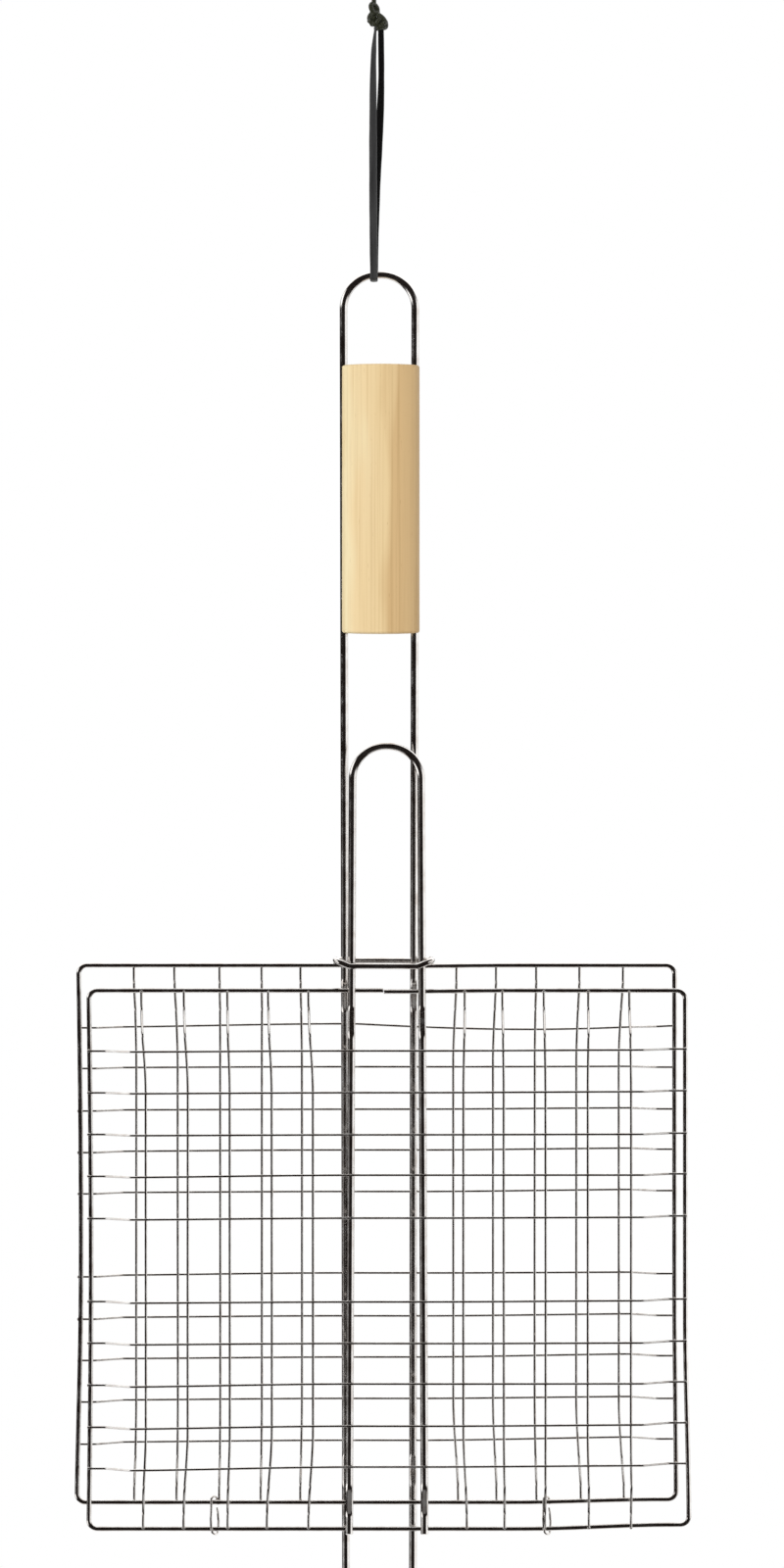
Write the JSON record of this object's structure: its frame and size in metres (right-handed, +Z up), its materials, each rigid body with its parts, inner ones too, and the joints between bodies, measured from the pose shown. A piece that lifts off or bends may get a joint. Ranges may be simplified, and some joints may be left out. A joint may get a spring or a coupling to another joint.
{
  "type": "grill basket",
  "caption": "Hinged wire grill basket with two dished mesh trays, a long wood-gripped handle, a short front handle, a sliding ring latch and a hanging lace.",
  "frame": {"origin": "inner top of the cord eye, where a hook holds the basket up; the long handle's wire lies in the plane y = 0", "axes": "+Z up along the handle, front towards -Y, +X to the right when seen from the front"},
  "size_m": [0.3188, 0.0346, 0.8624],
  "materials": {
    "chrome_wire": "bright chrome plated steel wire with drawn lines and small weld marks",
    "wood": "pale lightly oiled hardwood with fine straight grain",
    "leather": "black smooth lace, slightly glossy, worn along its edges",
    "cord": "dark olive braided cord"
  },
  "bodies": {
    "hanger": {"cord_eye": "cord", "eye_knot": "cord"},
    "lace": {"hang_cord": "cord", "cord_knot": "cord", "leather_lace": "leather"},
    "rear_basket": {"main_handle_wire": "chrome_wire", "wood_grip": "wood", "rear_frame_wire": "chrome_wire", "rear_long_wire_01": "chrome_wire", "rear_long_wire_02": "chrome_wire", "rear_long_wire_03": "chrome_wire", "rear_long_wire_04": "chrome_wire", "rear_long_wire_05": "chrome_wire", "rear_long_wire_06": "chrome_wire", "rear_long_wire_07": "chrome_wire", "rear_long_wire_08": "chrome_wire", "rear_long_wire_09": "chrome_wire", "rear_long_wire_10": "chrome_wire", "rear_cross_wire_01": "chrome_wire", "rear_cross_wire_02": "chrome_wire", "rear_cross_wire_03": "chrome_wire", "rear_cross_wire_04": "chrome_wire", "rear_cross_wire_05": "chrome_wire", "rear_cross_wire_06": "chrome_wire", "rear_cross_wire_07": "chrome_wire", "rear_cross_wire_08": "chrome_wire", "rear_cross_wire_09": "chrome_wire", "rear_cross_wire_10": "chrome_wire"},
    "latch": {"latch_ring": "chrome_wire"},
    "left_link": {"left_hinge_ring": "chrome_wire"},
    "right_link": {"right_hinge_ring": "chrome_wire"},
    "front_basket": {"front_handle_wire": "chrome_wire", "front_frame_wire": "chrome_wire", "front_long_wire_01": "chrome_wire", "front_long_wire_02": "chrome_wire", "front_long_wire_03": "chrome_wire", "front_long_wire_04": "chrome_wire", "front_long_wire_05": "chrome_wire", "front_long_wire_06": "chrome_wire", "front_long_wire_07": "chrome_wire", "front_long_wire_08": "chrome_wire", "front_long_wire_09": "chrome_wire", "front_long_wire_10": "chrome_wire", "front_cross_wire_01": "chrome_wire", "front_cross_wire_02": "chrome_wire", "front_cross_wire_03": "chrome_wire", "front_cross_wire_04": "chrome_wire", "front_cross_wire_05": "chrome_wire", "front_cross_wire_06": "chrome_wire", "front_cross_wire_07": "chrome_wire", "front_cross_wire_08": "chrome_wire", "front_cross_wire_09": "chrome_wire", "front_cross_wire_10": "chrome_wire"}
  },
  "joints": [
    {"name": "lace_sway", "type": "hinge", "parent": "hanger", "child": "lace", "pos_m": [0, 0, -0.0185], "axis": [0, 1, 0], "range_deg": [-45, 45]},
    {"name": "basket_swing", "type": "hinge", "parent": "lace", "child": "rear_basket", "pos_m": [0, 0, -0.1737], "axis": [1, 0, 0], "range_deg": [-60, 60]},
    {"name": "latch_slide", "type": "slide", "parent": "rear_basket", "child": "latch", "axis": [0, 0, 1], "range_m": [0, 0.162]},
    {"name": "left_ring_swing", "type": "hinge", "parent": "rear_basket", "child": "left_link", "pos_m": [0, -0.00319, -0.8124], "axis": [1, 0, 0], "range_deg": [-17, 0]},
    {"name": "right_ring_swing", "type": "hinge", "parent": "rear_basket", "child": "right_link", "pos_m": [0, -0.00319, -0.8124], "axis": [1, 0, 0], "range_deg": [-17, 0]},
    {"name": "tray_open", "type": "hinge", "parent": "left_link", "child": "front_basket", "pos_m": [0, -0.00639, -0.8259], "axis": [1, 0, 0], "range_deg": [0, 165]}
  ],
  "couplings": [
    {"joint": "left_ring_swing", "follows": "tray_open", "ratio": -0.1},
    {"joint": "right_ring_swing", "follows": "tray_open", "ratio": -0.1}
  ]
}
